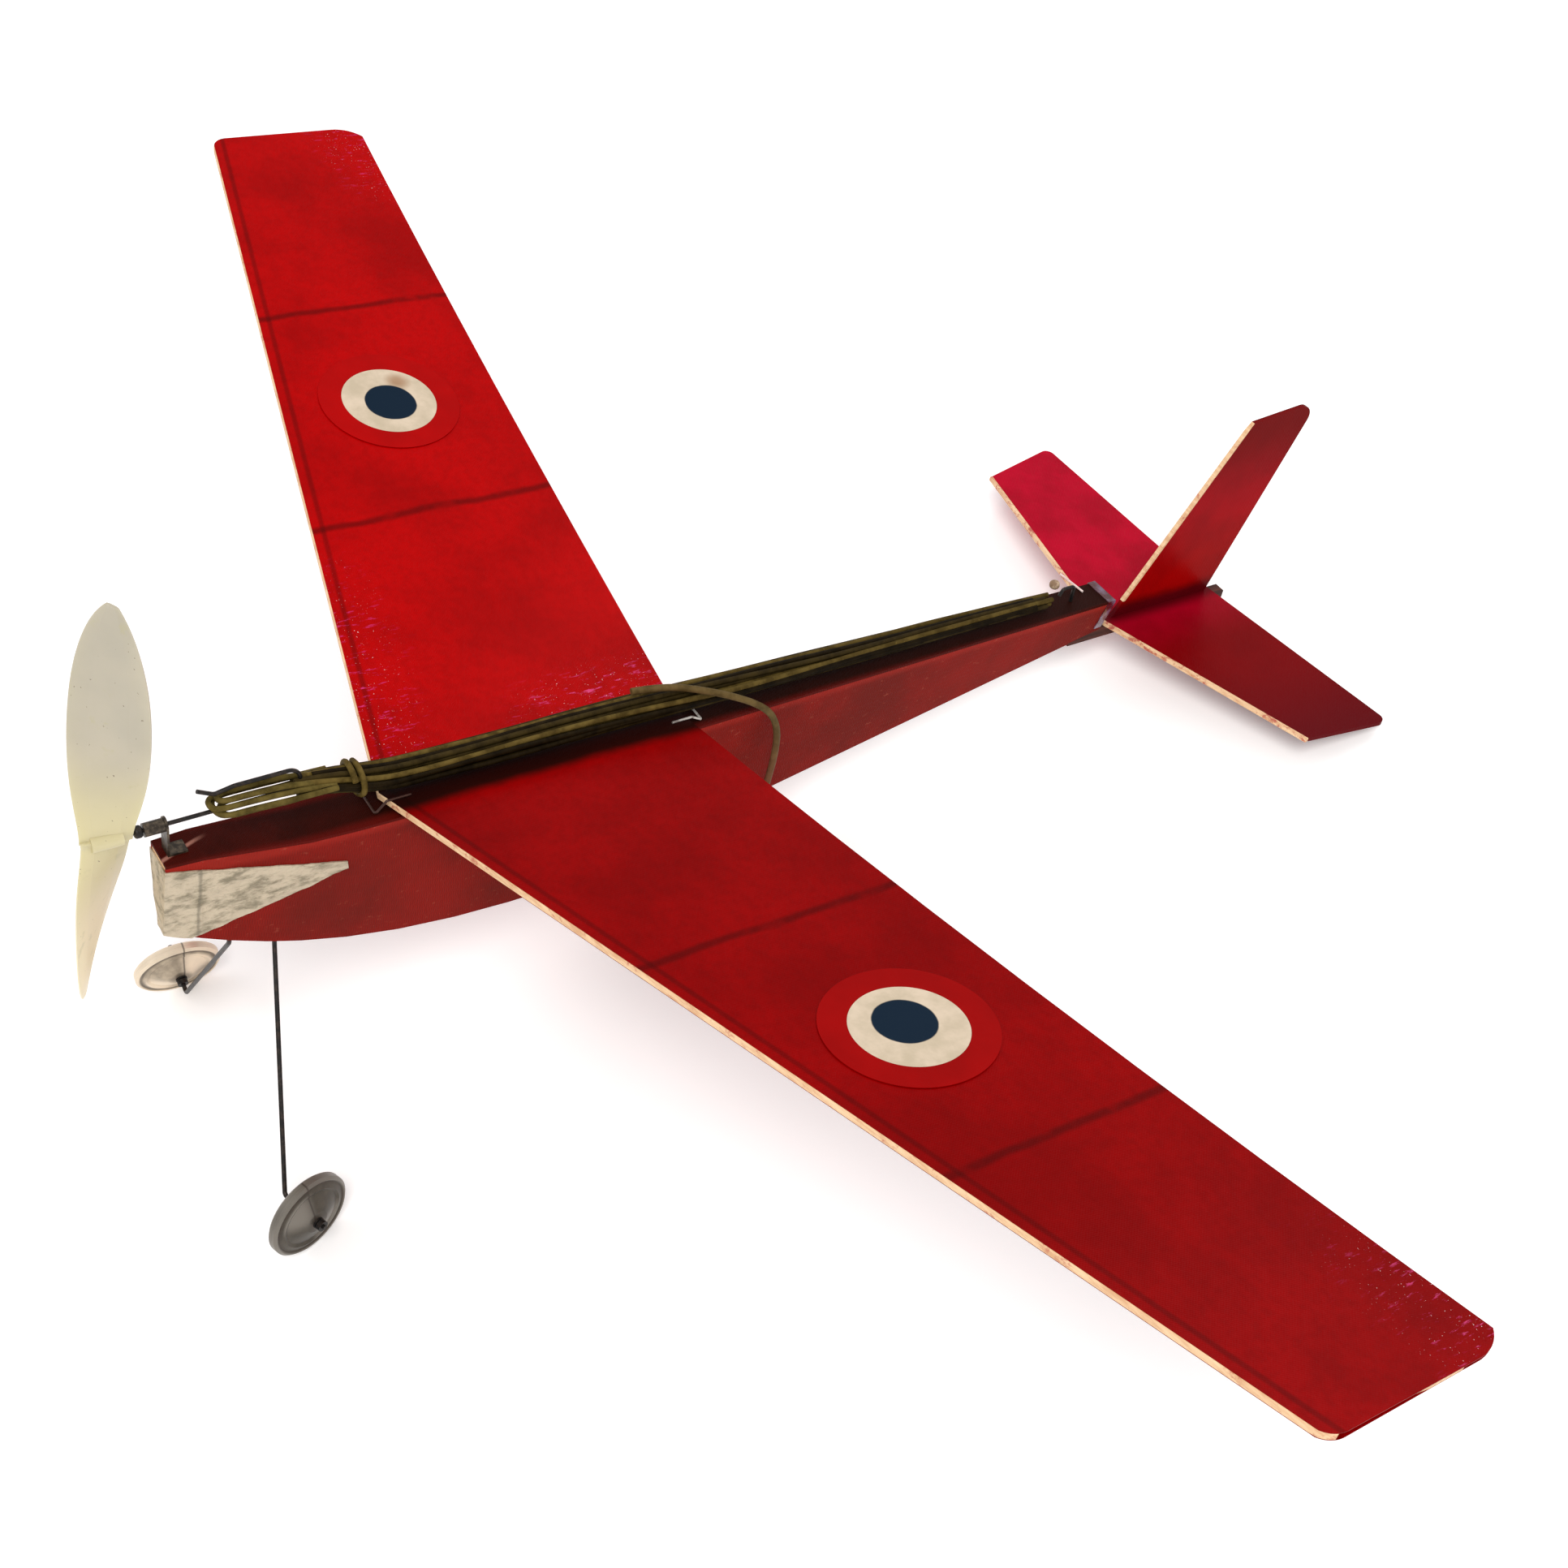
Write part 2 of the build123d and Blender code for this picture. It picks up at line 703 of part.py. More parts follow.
with BuildPart() as thrust_bead:
    with BuildSketch(across(-bush_front - side_gap - bead_length)):
        with Locations((0, shaft_height)):
            Circle(bead_diameter / 2)
            Circle(shaft_diameter / 2 + seat_clearance, mode=Mode.SUBTRACT)
    extrude(amount=-bead_length)
    fillet(thrust_bead.edges().filter_by(GeomType.CIRCLE).group_by(SortBy.RADIUS)[-1], 0.8)

# ---------------------------------------------------------------- rubber motor

hank_front_z = shaft_height
hank_wing_z = wing_height + motor_lift + motor_height / 2
hank_rear_z = motor_lift + motor_end_height / 2
hank_stations = [
    (-motor_front, 0.72, hank_front_z),
    (0.0, 0.95, hank_wing_z + 1.2),
    (root_chord / 2, 1.0, hank_wing_z),
    (root_chord + 12, 0.95, hank_wing_z - 1.2),
    (205.0, 0.75, mix(hank_wing_z, hank_rear_z, 0.62)),
    (motor_rear, 0.45, hank_rear_z),
]
with BuildPart() as rubber_motor:
    for y, fullness, z in hank_stations:
        with BuildSketch(across(y)):
            with Locations((0, z)):
                Ellipse(mix(motor_end_width, motor_width, fullness) / 2,
                        mix(motor_end_height, motor_height, fullness) / 2)
    loft()

with BuildPart() as motor_loops:
    loop_z = shaft_height + 3.1
    with BuildLine() as loop_path:
        FilletPolyline(
            (-loop_spread, -motor_front - 0.4, shaft_height),
            (-loop_spread, -loop_front + 9, loop_z),
            (-loop_spread, -loop_front, loop_z),
            (loop_spread, -loop_front, loop_z),
            (loop_spread, -loop_front + 9, loop_z),
            (loop_spread, -motor_front - 0.4, shaft_height),
            radius=[8, loop_spread - 0.02, loop_spread - 0.02, 8],
        )
    with BuildSketch(Plane(origin=loop_path.line @ 0, z_dir=loop_path.line % 0)):
        Circle(strand / 2)
    sweep()

# one strand is wound round the hank in front of the wing
wrap_y = -5.0
with BuildPart() as motor_wrap:
    wrap_z = mix(hank_wing_z + 1.2, hank_front_z, -wrap_y / motor_front) - 0.2
    wrap_room = strand / 2 + 0.55
    with BuildSketch(across(wrap_y + strand / 2)):
        with Locations((0, wrap_z)):
            Ellipse(motor_width / 2 + wrap_room + strand / 2, motor_height / 2 + wrap_room + strand / 2)
            Ellipse(motor_width / 2 + wrap_room - strand / 2, motor_height / 2 + wrap_room - strand / 2,
                    mode=Mode.SUBTRACT)
    extrude(amount=strand)
    fillet(motor_wrap.edges().filter_by(GeomType.ELLIPSE), strand * 0.35)

# a slack strand comes off the top of the hank and hangs down the port side, clear of the wing
strand_route = [
    (-2.0, 88.0, 13.4),
    (-0.5, 99.0, 13.4),
    (4.5, 109.0, 12.9),
    (9.5, 118.5, 11.2),
    (12.2, 127.5, 7.2),
    (12.6, 135.0, 0.5),
    (12.2, 139.0, -9.0),
    (11.7, 140.0, -20.0),
    (11.0, 139.8, -31.0),
    (10.6, 139.0, -42.0),
]


def cord_radii(route):
    """The largest arc that each corner of a cord's route allows."""
    radii = []
    for before, corner, after in zip(route, route[1:], route[2:]):
        arriving = Vector(corner) - Vector(before)
        leaving = Vector(after) - Vector(corner)
        turn = math.radians(arriving.get_angle(leaving))
        radii.append(0.45 * min(arriving.length, leaving.length) / math.tan(turn / 2))
    return radii


print("loose strand radii", [round(radius, 1) for radius in cord_radii(strand_route)])
with BuildPart() as loose_strand:
    with BuildLine() as strand_path:
        FilletPolyline(*strand_route, radius=cord_radii(strand_route))
    with BuildSketch(Plane(origin=strand_path.line @ 0, z_dir=strand_path.line % 0)):
        Circle(strand / 2)
    sweep()
strand_length = sum(edge.length for edge in strand_path.edges())
print("loose strand length", round(strand_length, 1), "volume over section",
      round(loose_strand.part.volume / (math.pi * strand ** 2 / 4), 1))

with BuildPart() as rear_hook:
    hook_y = motor_rear + 4.0
    with BuildLine() as rear_path:
        FilletPolyline(
            (0, hook_y + 5, -deck_thickness - 3),
            (0, hook_y + 5, hank_rear_z + 3.2),
            (0, hook_y - 0.5, hank_rear_z + 3.2),
            (0, hook_y - 1.5, hank_rear_z + 0.6),
            radius=[1.6, 1.1],
        )
    with BuildSketch(Plane(origin=rear_path.line @ 0, z_dir=rear_path.line % 0)):
        Circle(shaft_diameter / 2)
    sweep()

# the knot that ties the strand's end lies beside the hook, to starboard
knot_radius = 1.9
with BuildPart() as rear_knot:
    with BuildSketch(Plane.XY.offset(hank_rear_z + 0.6)):
        with Locations((-4.6, motor_rear + 3.4)):
            Circle(knot_radius)
    extrude(amount=1.6 * knot_radius)
    fillet(rear_knot.edges().filter_by(GeomType.CIRCLE), 0.7 * knot_radius)

hook_hole = Cylinder(shaft_diameter / 2 + seat_clearance, 40, mode=Mode.PRIVATE)
hook_hole = Pos(0, motor_rear + 9.0, 0) * hook_hole

# ---------------------------------------------------------------- undercarriage


def axle_direction(side_name):
    """Along an axle, outwards."""
    side = 1 if side_name == "port" else -1
    camber = math.radians(wheel_camber[side_name])
    toe = math.radians(wheel_toe[side_name])
    level = math.cos(camber)
    return Vector(side * level * math.cos(toe), level * math.sin(toe), math.sin(camber))


def wheel_centre(side_name):
    side = 1 if side_name == "port" else -1
    return Vector(side * wheel_track, wheel_behind[side_name], -wheel_drop)


ferrule_half = dish_height + 0.6
axle_knee = ferrule_half + side_gap + collar_length + 3.2
axle_end = ferrule_half + side_gap + collar_length + 0.8

legs = {}
wheels = {}
collars = []
for side_name, root in leg_root.items():
    out = axle_direction(side_name)
    centre = wheel_centre(side_name)
    route = [
        (0, root, keel_z(root) + leg_hole),
        (0, root, keel_z(root) - 3.0),
        centre - out * axle_knee,
        centre + out * axle_end,
    ]
    with BuildPart() as leg:
        with BuildLine() as leg_path:
            FilletPolyline(*route, radius=[leg_bend, 2.0])
        with BuildSketch(Plane(origin=leg_path.line @ 0, z_dir=leg_path.line % 0)):
            Circle(wire_diameter / 2)
        sweep()
    legs[side_name] = leg.part

    radial = Vector(0, 1, 0).cross(out).cross(out).normalized()
    wheel_plane = Plane(origin=centre, x_dir=radial, z_dir=out)
    # here x is the radius and y runs outwards along the axle
    section_plane = Plane(origin=centre, x_dir=radial, z_dir=radial.cross(out))
    axle = Axis(centre, out)
    for face_name, hand in (("outer", 1), ("inner", -1)):
        with BuildPart() as dish:
            with BuildSketch(section_plane):
                profile = [
                    (ferrule_radius + seat_clearance, dish_height),
                    (wheel_radius * 0.27, dish_height - 0.3),
                    (wheel_radius * 0.68, 1.9),
                    (wheel_radius * 0.75, 2.3),
                    (wheel_radius * 0.88, 1.5),
                    (wheel_radius * 0.94, 1.9),
                    (wheel_radius, rim_half_width),
                ]
                outer_line = [(r, hand * h) for r, h in profile]
                inner_line = [(r, hand * (h - sheet_tin)) for r, h in reversed(profile)]
                inner_line[0] = (wheel_radius, hand * 0.02)
                inner_line.insert(1, (wheel_radius - sheet_tin, hand * 0.02))
                draw(outer_line + inner_line)
            revolve(axis=axle)
        wheels[f"wheel_{side_name}_{face_name}"] = dish.part
    with BuildPart() as ferrule:
        with BuildSketch(wheel_plane.offset(-ferrule_half)):
            Circle(ferrule_radius)
            Circle(wire_diameter / 2 + spin_clearance, mode=Mode.SUBTRACT)
        extrude(amount=2 * ferrule_half)
    wheels[f"wheel_{side_name}_hub"] = ferrule.part
    collars.append(wheel_plane.offset(ferrule_half + side_gap))
    collars.append(wheel_plane.offset(-ferrule_half - side_gap - collar_length))

with BuildPart() as axle_stops:
    for plane in collars:
        with BuildSketch(plane):
            Circle(collar_radius)
            Circle(wire_diameter / 2 + seat_clearance, mode=Mode.SUBTRACT)
        extrude(amount=collar_length)

# ---------------------------------------------------------------- stand it on the floor

nodes = {
    "side_skin_port": side_skins["port"],
    "side_skin_starboard": side_skins["starboard"],
    "top_deck": top_deck.part - hook_hole,
    "keel_strip": keel_strip.part,
    "nose_block": nose_block.part,
    "leg_block": leg_block.part,
    "formers": formers.part,
    "tail_block": tail_block.part - hook_hole,
    "tail_stick": tail_stick.part,
    "nose_plate": nose_plate.part,
    "tail_band": tail_band.part,
    "wing_joiner": wing_joiner.part,
    "wing_clips": wing_clips.part,
    "tailplane": tailplane.part,
    "tailplane_front_port": stab_fronts["port"],
    "tailplane_front_starboard": stab_fronts["starboard"],
    "fin": fin.part,
    "fin_front": fin_front.part,
    "tail_pin": tail_pin.part,
    "propeller": propeller.part,
    "prop_shaft": prop_shaft.part,
    "thrust_bearing": thrust_bearing.part,
    "thrust_bead": thrust_bead.part,
    "rubber_motor": rubber_motor.part,
    "motor_loops": motor_loops.part,
    "motor_wrap": motor_wrap.part,
    "loose_strand": loose_strand.part,
    "rear_knot": rear_knot.part,
    "rear_hook": rear_hook.part,
    "leg_port": legs["port"],
    "leg_starboard": legs["starboard"],
    "axle_stops": axle_stops.part,
}
nodes.update(wheels)
nodes.update(wing_pieces)

# the stance: the wheels and the lower edge of the tail stick touch the floor together
touch = Vector(0, stick_end - 2.0, stick_top - stick_height)


def wheel_low(side_name, angle):
    """The lowest height of a wheel's rim with the nose raised by angle."""
    out = axle_direction(side_name)
    up = Vector(0, -math.sin(angle), math.cos(angle))
    slope = out.dot(up)
    rim = wheel_radius * math.sqrt(1 - slope ** 2) + rim_half_width * abs(slope)
    return wheel_centre(side_name).dot(up) - rim


def floor_gap(angle):
    """How much higher the tail stick is than the wheels when the nose is raised by angle."""
    up = Vector(0, -math.sin(angle), math.cos(angle))
    wheels_low = min(wheel_low("port", angle), wheel_low("starboard", angle))
    return touch.dot(up) - wheels_low


low, high = 0.0, math.radians(40)
for step in range(60):
    middle = (low + high) / 2
    if floor_gap(middle) > 0:
        low = middle
    else:
        high = middle
stance = math.degrees(low)

os.makedirs("parts", exist_ok=True)
tipped = {name: part.rotate(Axis.X, -stance) for name, part in nodes.items()}
whole = Compound(children=[Part(part.wrapped) for part in tipped.values()]).bounding_box()
shift = Vector(-(whole.min.X + whole.max.X) / 2, -(whole.min.Y + whole.max.Y) / 2, -whole.min.Z)
for name, part in tipped.items():
    placed = part.translate(shift)
    placed.label = name
    export_step(placed, f"parts/{name}.step")
print("stance", round(stance, 3), "shift", shift)
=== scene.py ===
import json
import math
import bpy
from mathutils import Matrix, Vector, noise


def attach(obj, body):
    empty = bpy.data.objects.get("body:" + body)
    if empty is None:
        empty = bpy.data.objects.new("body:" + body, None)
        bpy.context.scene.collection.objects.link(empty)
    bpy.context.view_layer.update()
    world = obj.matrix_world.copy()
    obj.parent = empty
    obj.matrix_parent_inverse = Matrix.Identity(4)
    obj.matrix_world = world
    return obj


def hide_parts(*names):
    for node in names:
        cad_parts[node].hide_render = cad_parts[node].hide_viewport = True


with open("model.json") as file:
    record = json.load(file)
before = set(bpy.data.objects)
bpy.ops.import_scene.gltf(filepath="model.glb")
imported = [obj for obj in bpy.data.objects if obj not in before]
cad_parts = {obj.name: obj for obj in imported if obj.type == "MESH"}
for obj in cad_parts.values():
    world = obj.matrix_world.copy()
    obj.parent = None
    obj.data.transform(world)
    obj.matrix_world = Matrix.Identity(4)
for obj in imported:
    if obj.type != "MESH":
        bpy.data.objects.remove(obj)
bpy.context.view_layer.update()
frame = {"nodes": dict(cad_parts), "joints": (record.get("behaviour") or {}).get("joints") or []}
print("frame loaded")

mm = 0.001
nodes = frame["nodes"]

# The airplane is drawn level, in millimetres: nose to -Y, port to +X, the deck at z = 0 and the apex of
# the wing at y = 0. stand carries that drawing to where it stands, nose up, in metres.
spin = next(j for j in frame["joints"] if j["name"] == "propeller_spin")
hubLevel = Vector((0, -82.5, 14.2))
tilt = math.atan2(spin["axis"][2], -spin["axis"][1])
tip = Matrix.Rotation(-tilt, 3, "X")
shift = Vector(spin["pos_m"]) - tip @ (hubLevel * mm)
stand = Matrix.Translation(shift) @ tip.to_4x4() @ Matrix.Scale(mm, 4)


# camera and light

camera = {"azimuth": 61.9, "elevation": 49.124, "roll": -5.61, "distance": 0.6856, "lens": 49.7,
          "aim": (0.0445, -0.0194, 0.08)}


def placeCamera():
    azimuth = math.radians(camera["azimuth"])
    elevation = math.radians(camera["elevation"])
    back = Vector((math.sin(azimuth) * math.cos(elevation),
                   -math.cos(azimuth) * math.cos(elevation), math.sin(elevation)))
    data = bpy.data.cameras.new("camera")
    data.lens = camera["lens"]
    data.sensor_width = 36
    data.clip_start = 0.01
    data.clip_end = 20
    eye = bpy.data.objects.new("camera", data)
    bpy.context.scene.collection.objects.link(eye)
    eye.location = Vector(camera["aim"]) + back * camera["distance"]
    upright = (-back).to_track_quat("-Z", "Y").to_matrix()
    eye.rotation_euler = (upright @ Matrix.Rotation(math.radians(camera["roll"]), 3, "Z")).to_euler()
    bpy.context.scene.camera = eye
    bpy.context.scene.view_settings.view_transform = "Standard"


placeCamera()

lights = {
    "key": {"at": (1.1, -0.5, 1.9), "size": 1.1, "power": 29, "colour": (1, 0.98, 0.95)},
    "fill": {"at": (-1.5, -1.3, 1.2), "size": 1.6, "power": 9, "colour": (0.96, 0.97, 1)},
    "back": {"at": (-0.5, 1.6, 1.4), "size": 1.4, "power": 10, "colour": (1, 0.97, 0.98)},
}
studio = {"skyStrength": 0.6, "floorGlow": 0.16, "floorHalf": 3.0,
          "floorColours": ((0.95, 0.95, 0.95, 1), (0.97, 0.97, 0.97, 1))}


def lightStudio():
    for name, lamp in lights.items():
        data = bpy.data.lights.new(name, "AREA")
        data.shape = "DISK"
        data.size = lamp["size"]
        data.energy = lamp["power"]
        data.color = lamp["colour"]
        light = bpy.data.objects.new(name, data)
        bpy.context.scene.collection.objects.link(light)
        light.location = lamp["at"]
        light.rotation_euler = (-Vector(lamp["at"])).to_track_quat("-Z", "Y").to_euler()
    world = bpy.data.worlds.new("studio")
    bpy.context.scene.world = world
    world.use_nodes = True
    sky = world.node_tree.nodes["Background"]
    sky.inputs["Color"].default_value = (1, 1, 1, 1)
    sky.inputs["Strength"].default_value = studio["skyStrength"]


lightStudio()
print("camera and lights set")


# shader sums

class Wire:
    # one shader socket that plain sums can be written with
    def __init__(self, paint, socket):
        self.paint = paint
        self.socket = socket

    def join(self, operation, other=None, flip=False):
        parts = [self] if other is None else [self, other]
        if flip:
            parts.reverse()
        return self.paint.node("ShaderNodeMath", {"operation": operation}, dict(enumerate(parts)))

    def __add__(self, other):
        return self.join("ADD", other)

    __radd__ = __add__

    def __sub__(self, other):
        return self.join("SUBTRACT", other)

    def __rsub__(self, other):
        return self.join("SUBTRACT", other, flip=True)

    def __mul__(self, other):
        return self.join("MULTIPLY", other)

    __rmul__ = __mul__

    def __truediv__(self, other):
        return self.join("DIVIDE", other)

    def smooth(self, low, high):
        # 0 below low, 1 above high, eased between them
        return self.paint.node("ShaderNodeMapRange", {"interpolation_type": "SMOOTHSTEP"},
                               {"Value": self, "From Min": low, "From Max": high})


class Paint:
    # one material; level is the place on the airplane in level millimetres
    def __init__(self, name):
        self.material = bpy.data.materials.new(name)
        self.material.use_nodes = True
        self.tree = self.material.node_tree
        self.surface = self.tree.nodes["Principled BSDF"]
        self.place = self.node("ShaderNodeTexCoord", {}, {}, "Object")
        self.level = self.node("ShaderNodeMapping", {"vector_type": "TEXTURE"}, {
            "Vector": self.place, "Location": shift, "Rotation": (-tilt, 0, 0), "Scale": (mm, mm, mm)})
        parts = self.tree.nodes.new("ShaderNodeSeparateXYZ")
        self.tree.links.new(self.level.socket, parts.inputs[0])
        self.x, self.y, self.z = [Wire(self, parts.outputs[i]) for i in range(3)]

    def node(self, kind, settings, values, out=0):
        made = self.tree.nodes.new(kind)
        for key, value in settings.items():
            setattr(made, key, value)
        for key, value in values.items():
            self.feed(made.inputs[key], value)
        return Wire(self, made.outputs[out])

    def feed(self, socket, value):
        if isinstance(value, Wire):
            self.tree.links.new(value.socket, socket)
        elif socket.type == "RGBA" and len(value) == 3:
            socket.default_value = (*value, 1)
        else:
            socket.default_value = value

    def noise(self, scale, detail=3.0, rough=0.5, stretch=None):
        # cloudy noise; scale is in spots per millimetre
        where = self.level
        if stretch:
            where = self.node("ShaderNodeVectorMath", {"operation": "MULTIPLY"}, {0: where, 1: stretch})
        return self.node("ShaderNodeTexNoise", {}, {
            "Vector": where, "Scale": scale, "Detail": detail, "Roughness": rough}, "Fac")

    def blend(self, share, first, second):
        mixed = self.tree.nodes.new("ShaderNodeMix")
        mixed.data_type = "RGBA"
        self.feed(mixed.inputs[0], share)
        self.feed(mixed.inputs[6], first)
        self.feed(mixed.inputs[7], second)
        return Wire(self, mixed.outputs[2])

    def bump(self, height, distance, strength):
        return self.node("ShaderNodeBump", {}, {
            "Height": height, "Distance": distance * mm, "Strength": strength})

    def finish(self, shine=0.5, **values):
        # BaseColor=..., Roughness=...: words run together name the shader's sockets
        self.surface.inputs["Specular IOR Level"].default_value = shine
        for key, value in values.items():
            spaced = "".join(" " + c if c.isupper() and i else c for i, c in enumerate(key))
            self.feed(self.surface.inputs[spaced], value)
        return self.material

    def weave(self, pitch):
        # threads over and under along y and x, from -1 to 1
        across = (self.x * (2 * math.pi / pitch)).join("SINE")
        along = (self.y * (2 * math.pi / pitch)).join("SINE")
        return across * along


def coat(paint, *names):
    for name in names:
        node = nodes[name]
        node.data.materials.clear()
        node.data.materials.append(paint)


# materials

wingLook = {"halfSpan": 320.0, "sweep": 76.0, "rootChord": 106.0, "tipChord": 62.0,
            "ribs": (0.34, 0.67), "far": (0.43, 0.0006, 0.001), "near": (0.27, 0.0005, 0.0008),
            "rib": (0.05, 0.001, 0.001), "glint": (0.7, 0.03, 0.2), "hankShadow": (0.008, 0.003, 0.002),
            "speck": (0.85, 0.7, 0.72)}


def wingCloth(side):
    paint = Paint("wingCloth" + side)
    out = paint.x.join("ABSOLUTE")
    share = out / wingLook["halfSpan"]
    chord = (wingLook["tipChord"] - wingLook["rootChord"]) * share + wingLook["rootChord"]
    along = (paint.y - wingLook["sweep"] * share) / chord
    cloud = paint.noise(0.02, 4.0, 0.6)
    fine = paint.noise(0.35, 3.0, 0.6)
    # the far (starboard) wing is painted lighter than the near (port) one: painted light and shade on one
    # cloth
    base = wingLook["far"] if side == "starboard" else wingLook["near"]
    dark = tuple(c * 0.7 for c in base)
    red = paint.blend(cloud.smooth(0.3, 0.65), dark, base)
    red = paint.blend(fine.smooth(0.35, 0.75) * 0.3, red, tuple(c * 0.5 for c in base))
    # ribs show through as thin dark lines
    wander = paint.noise(0.04, 2.0, 0.5) * 4.0 - 2.0
    first, second = [1.0 - (out - place * wingLook["halfSpan"] + wander).join("ABSOLUTE").smooth(0.3, 2.4)
                     for place in wingLook["ribs"]]
    broken = paint.noise(0.08, 2.0, 0.6).smooth(0.2, 0.5)
    red = paint.blend((first + second) * broken * 0.62, red, wingLook["rib"])
    # a dark line where the strips' inner edges press through
    strip = 1.0 - (paint.y - wingLook["sweep"] * share - 4.0).join("ABSOLUTE").smooth(0.3, 1.4)
    red = paint.blend(strip * 0.45, red, wingLook["rib"])
    # painted shadow of the rubber hank on the wing by the root, nearly black, wider on the port side
    reach = (5.0, 9.0) if side == "starboard" else (9.0, 15.0)
    underHankShadow = 1.0 - (out + cloud * 6.0 - 3.0).smooth(*reach)
    red = paint.blend(underHankShadow * 0.95, red, wingLook["hankShadow"])
    # the varnish is crazed by the root's front and by the tip's rear corner, and there it is painted with
    # magenta glints: a painted highlight
    front = 1.0 - along.smooth(0.02, 0.3)
    bundle = (1.0 - out.smooth(16.0, 34.0)) * along.smooth(0.3, 0.8)
    root = ((1.0 - out.smooth(40.0, 120.0)) * front + bundle) * (1.0 if side == "starboard" else 0.0)
    corner = share.smooth(0.78, 1.0) * along.smooth(0.45, 0.98)
    crinkle = paint.noise(0.55, 5.0, 0.7, stretch=(1.3, 0.3, 1.0))
    patches = root + corner + cloud.smooth(0.62, 0.75) * 0.2
    crazedAndGlint = (patches * crinkle.smooth(0.55, 0.68)).smooth(0, 1)
    red = paint.blend(crazedAndGlint * 0.7, red, wingLook["glint"])
    # white specks of painted highlight on the crazed patches
    speck = paint.noise(1.6, 2.0, 0.5).smooth(0.7, 0.76) * (root + corner).smooth(0.1, 0.7)
    red = paint.blend(speck * 0.8, red, wingLook["speck"])
    grain = paint.weave(0.9)
    relief = grain * 0.4 + fine * 1.2 + crinkle * crazedAndGlint * 4.0
    return paint.finish(
        shine=0.02, BaseColor=red, Roughness=0.24 + 0.16 * fine, CoatWeight=0.02 + 0.3 * crazedAndGlint,
        CoatRoughness=0.15, Normal=paint.bump(relief, 0.07, 0.55))


tailLook = {"starboard": (0.46, 0.001, 0.02), "port": (0.18, 0.0008, 0.002), "tip": (0.07, 0.002, 0.005),
            "fin": (0.34, 0.001, 0.001), "finTop": (0.15, 0.002, 0.002), "cloud": (0.12, 0.001, 0.002),
            "glue": (0.02, 0.001, 0.001)}


def tailCloth():
    paint = Paint("tailCloth")
    cloud = paint.noise(0.05, 4.0, 0.6)
    # the starboard half is painted lighter, and the port half and its tip darker: painted light and shade on
    # one cloth
    port = paint.x.smooth(-10.0, 30.0)
    tip = paint.x.smooth(35.0, 95.0)
    red = paint.blend(port, tailLook["starboard"], tailLook["port"])
    red = paint.blend(tip * 0.75, red, tailLook["tip"])
    high = paint.z.smooth(0.0, 60.0)
    red = paint.blend(high, red, tailLook["finTop"])
    upright = paint.z.smooth(-12.0, -8.0)
    red = paint.blend(upright * (1.0 - high), red, tailLook["fin"])
    red = paint.blend(cloud.smooth(0.35, 0.7) * 0.35, red, tailLook["cloud"])
    # painted shadow of the fin on the tailplane, dark along the fin's foot
    middle = 1.0 - (paint.x.join("ABSOLUTE") + cloud * 3.0).smooth(2.0, 9.0)
    foot = 1.0 - (paint.z + 13.7 - cloud * 3.0).join("ABSOLUTE").smooth(1.0, 7.0)
    red = paint.blend(middle * foot * 0.8, red, tailLook["glue"])
    fine = paint.noise(0.35, 3.0, 0.6)
    return paint.finish(shine=0.02, BaseColor=red, Roughness=0.26 + 0.14 * fine, CoatWeight=0.02,
                        CoatRoughness=0.12, Normal=paint.bump(paint.weave(0.9) * 0.4 + fine, 0.07, 0.5))


sideLook = {"dark": (0.15, 0.008, 0.004), "light": (0.25, 0.008, 0.004), "thread": (0.1, 0.004, 0.003),
            "edge": (0.34, 0.02, 0.012), "scuff": (0.4, 0.1, 0.06)}


def sideCloth():
    paint = Paint("sideCloth")
    cloud = paint.noise(0.03, 4.0, 0.6)
    grain = paint.weave(0.8)
    red = paint.blend(cloud.smooth(0.3, 0.7), sideLook["dark"], sideLook["light"])
    red = paint.blend(grain.smooth(-0.8, 0.8) * 0.4, red, sideLook["thread"])
    # the side skin's top edge is painted lighter: a painted highlight where it rounds over
    top = paint.z.smooth(-5.0, -1.5)
    red = paint.blend(top * 0.5, red, sideLook["edge"])
    scuff = paint.noise(0.5, 4.0, 0.7, stretch=(1.0, 0.5, 1.0)).smooth(0.62, 0.72)
    red = paint.blend(scuff * 0.35, red, sideLook["scuff"])
    return paint.finish(shine=0.05, BaseColor=red, Roughness=0.6, Normal=paint.bump(grain, 0.08, 0.6))


deckLook = {"dark": (0.03, 0.003, 0.0015), "light": (0.055, 0.004, 0.002), "aft": (0.012, 0.003, 0.0015),
            "edge": (0.15, 0.006, 0.004), "noseGlint": (0.45, 0.2, 0.15)}


def deckCloth():
    paint = Paint("deckCloth")
    cloud = paint.noise(0.05, 4.0, 0.6)
    # the deck is painted dark as a painted shadow of the rubber hank, darker still aft under the hank, and
    # lighter at its edges out of that shadow
    aft = paint.y.smooth(-55.0, 20.0)
    red = paint.blend(cloud.smooth(0.3, 0.7), deckLook["dark"], deckLook["light"])
    red = paint.blend(aft * 0.8, red, deckLook["aft"])
    edge = (paint.x.join("ABSOLUTE") - 5.0).smooth(0.0, 3.5)
    red = paint.blend(edge * 0.5, red, deckLook["edge"])
    # a painted highlight: a light streak where the cloth creases at the nose
    noseGlint = 1.0 - (paint.x + (paint.y + 60.0) * 0.4).join("ABSOLUTE").smooth(0.2, 1.1)
    noseGlint = noseGlint * (1.0 - paint.y.smooth(-60.0, -52.0))
    red = paint.blend(noseGlint * 0.7, red, deckLook["noseGlint"])
    return paint.finish(shine=0.03, BaseColor=red, Roughness=0.5,
                        Normal=paint.bump(paint.weave(0.8), 0.08, 0.6))


woodLook = {"pale": (0.84, 0.58, 0.34), "grain": (0.62, 0.33, 0.16), "stain": (0.4, 0.03, 0.02),
            "dark": (0.03, 0.012, 0.01), "darkGrain": (0.1, 0.03, 0.02)}


